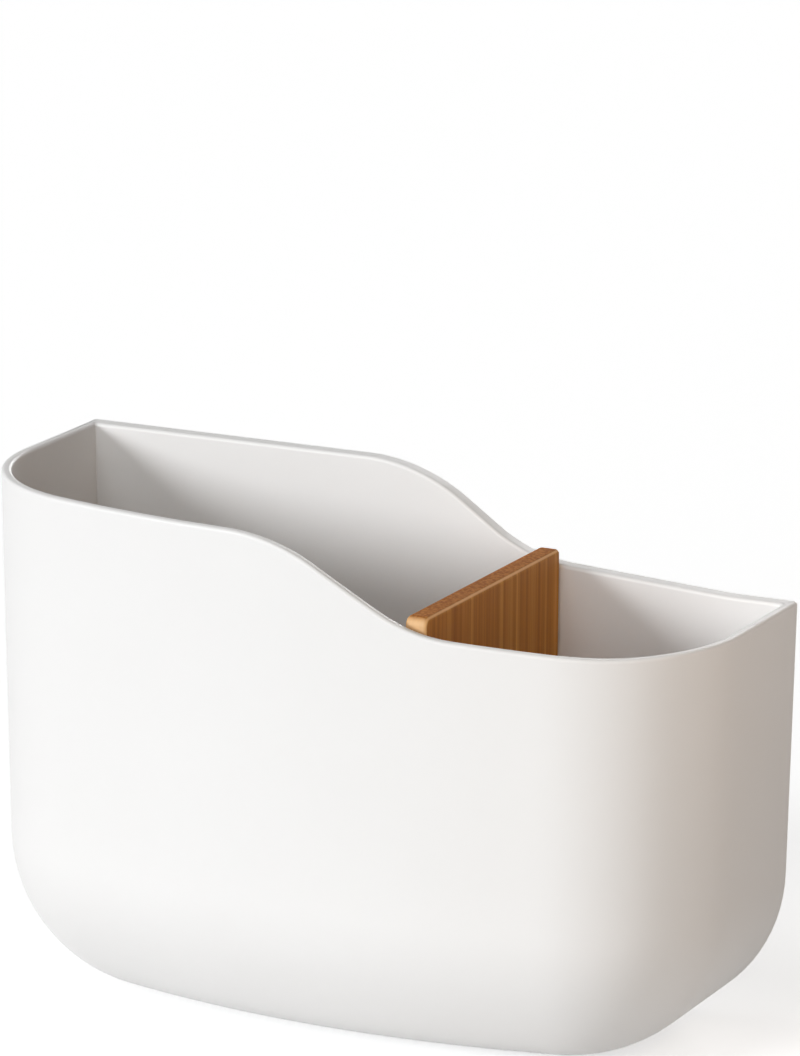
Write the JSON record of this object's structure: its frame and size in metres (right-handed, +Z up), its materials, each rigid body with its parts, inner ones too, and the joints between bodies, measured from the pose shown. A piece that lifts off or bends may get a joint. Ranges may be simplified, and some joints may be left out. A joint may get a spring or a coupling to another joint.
{
  "type": "remote control holder",
  "caption": "Open-topped desk caddy for remote controls: a white moulded shell with a wave-cut rim, a bowed front and a flat back, parted by an upright bamboo board.",
  "frame": {"origin": "middle of the outer box seen from above, on the underside of the flat base", "axes": "+X towards the low side of the rim, +Y towards the flat back, +Z up"},
  "size_m": [0.1696, 0.0759, 0.116],
  "materials": {
    "white_plastic": "satin, finely textured",
    "bamboo": "carbonised bamboo under a thin satin varnish"
  },
  "bodies": {
    "root": {"shell": "white_plastic", "divider": "bamboo"}
  },
  "joints": []
}
